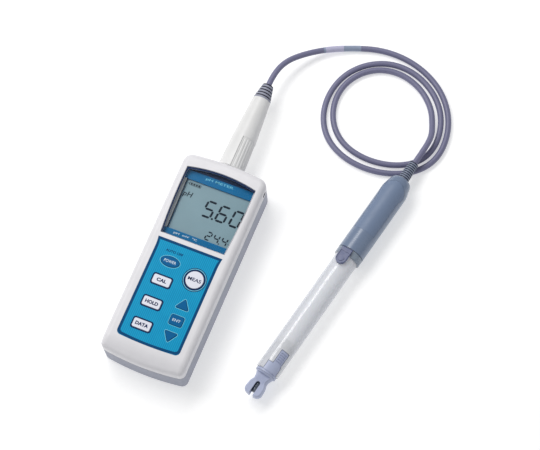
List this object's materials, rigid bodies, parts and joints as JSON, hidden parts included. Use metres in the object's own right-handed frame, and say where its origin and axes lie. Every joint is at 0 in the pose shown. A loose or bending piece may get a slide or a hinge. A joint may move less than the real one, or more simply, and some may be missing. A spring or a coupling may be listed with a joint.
{
  "type": "handheld ph meter",
  "caption": "Handheld pH meter: case with keypad and display, plugged lead looped beside it, and a pen-shaped electrode with a refillable tube and forked tip guard.",
  "frame": {"origin": "centre of the meter's flat back, on the surface it lies on", "axes": "+Z out of the display, +Y towards the socket end, +X to the right, the side where the electrode lies"},
  "size_m": [0.2004, 0.3526, 0.0379],
  "materials": {
    "white_case": "fine satin texture",
    "grey_case": "fine satin texture",
    "dark_seal": "matte",
    "screw_steel": "plated",
    "clear_window": "clear acrylic",
    "blue_print": "printed film",
    "lcd_glass": "reflective display glass",
    "white_insert": "moulded",
    "cyan_film": "printed membrane with fine lines",
    "white_key": "smooth",
    "navy_key": "smooth",
    "contact_metal": "spring steel",
    "contact_gold": "gold plated",
    "circuit_board": "solder mask",
    "chip_black": "moulded",
    "can_aluminium": "can",
    "cell_wrap": "shrink sleeve",
    "socket_metal": "plated",
    "white_plug": "satin",
    "boot_rubber": "soft",
    "cable_jacket": "satin jacket",
    "handle_grey": "satin",
    "grip_soft": "soft matte",
    "collar_clear": "translucent",
    "clear_tube": "translucent",
    "milky_sleeve": "milky",
    "silver_wire": "silver",
    "clear_glass": "thin glass",
    "filler_rubber": "soft",
    "tip_lavender": "satin",
    "ceramic_frit": "porous"
  },
  "bodies": {
    "meter": {"front_case": "white_case", "rear_case": "grey_case", "case_seal": "dark_seal", "case_screws": "screw_steel", "window_lens": "clear_window", "window_seal": "dark_seal", "lcd_bezel": "blue_print", "lcd_panel": "lcd_glass", "lcd_tray": "white_insert", "lcd_connector_strips": "dark_seal", "keypad_overlay": "cyan_film", "key_domes": "contact_metal", "main_board": "circuit_board", "board_screws": "screw_steel", "processor_chip": "chip_black", "amplifier_shield": "contact_metal", "buzzer": "chip_black", "board_capacitors": "can_aluminium", "batteries": "cell_wrap", "battery_contacts": "contact_metal", "socket_shell": "socket_metal", "socket_insert": "chip_black", "socket_contacts": "contact_gold", "socket_seal": "dark_seal"},
    "battery_door": {"battery_cover": "grey_case"},
    "lead": {"plug_body": "white_plug", "plug_insert": "chip_black", "plug_pins": "contact_gold", "plug_seal": "dark_seal", "plug_boot": "boot_rubber", "sensor_cable": "cable_jacket", "cable_ends": "cable_jacket", "probe_boot": "handle_grey", "probe_handle": "handle_grey", "handle_grip_pad": "grip_soft", "cable_clamp": "contact_metal", "terminal_board": "circuit_board", "bulkhead": "white_insert", "reservoir_seal": "dark_seal", "collar": "collar_clear", "reservoir_tube": "clear_tube", "inner_sleeve": "milky_sleeve", "reference_element": "silver_wire", "glass_electrode": "clear_glass", "silver_wire": "silver_wire", "thermistor": "chip_black"},
    "filler_flap": {"filler_plug": "filler_rubber"},
    "tip": {"junction_holder": "tip_lavender", "fork_guard": "tip_lavender", "tip_seal": "dark_seal", "liquid_junction": "ceramic_frit"},
    "power_button": {"power_key": "navy_key"},
    "cal_button": {"cal_key": "white_key"},
    "hold_button": {"hold_key": "white_key"},
    "data_button": {"data_key": "white_key"},
    "meas_button": {"meas_key": "white_key"},
    "up_button": {"up_key": "navy_key"},
    "enter_button": {"enter_key": "navy_key"},
    "down_button": {"down_key": "navy_key"}
  },
  "joints": [
    {"name": "power_press", "type": "slide", "parent": "meter", "child": "power_button", "axis": [0, 0, -1], "range_m": [0, 0.0005], "stiffness_N_per_m": 1500},
    {"name": "cal_press", "type": "slide", "parent": "meter", "child": "cal_button", "axis": [0, 0, -1], "range_m": [0, 0.0005], "stiffness_N_per_m": 1500},
    {"name": "hold_press", "type": "slide", "parent": "meter", "child": "hold_button", "axis": [0, 0, -1], "range_m": [0, 0.0005], "stiffness_N_per_m": 1500},
    {"name": "data_press", "type": "slide", "parent": "meter", "child": "data_button", "axis": [0, 0, -1], "range_m": [0, 0.0005], "stiffness_N_per_m": 1500},
    {"name": "meas_press", "type": "slide", "parent": "meter", "child": "meas_button", "axis": [0, 0, -1], "range_m": [0, 0.0005], "stiffness_N_per_m": 1500},
    {"name": "up_press", "type": "slide", "parent": "meter", "child": "up_button", "axis": [0, 0, -1], "range_m": [0, 0.0005], "stiffness_N_per_m": 1500},
    {"name": "enter_press", "type": "slide", "parent": "meter", "child": "enter_button", "axis": [0, 0, -1], "range_m": [0, 0.0005], "stiffness_N_per_m": 1500},
    {"name": "down_press", "type": "slide", "parent": "meter", "child": "down_button", "axis": [0, 0, -1], "range_m": [0, 0.0005], "stiffness_N_per_m": 1500},
    {"name": "battery_door_slide", "type": "slide", "parent": "meter", "child": "battery_door", "axis": [0, -1, 0], "range_m": [0, 0.012]},
    {"name": "lead_unplug", "type": "slide", "parent": "meter", "child": "lead", "axis": [0, 1, 0], "range_m": [0, 0.012]},
    {"name": "filler_flap_hinge", "type": "hinge", "parent": "lead", "child": "filler_flap", "pos_m": [0.11987, 0.06316, 0.02347], "axis": [-0.9622, 0.2098, -0.1736], "range_deg": [0, 80]},
    {"name": "tip_release", "type": "slide", "parent": "lead", "child": "tip", "axis": [-0.213, -0.977, 0], "range_m": [0, 0.018]}
  ]
}
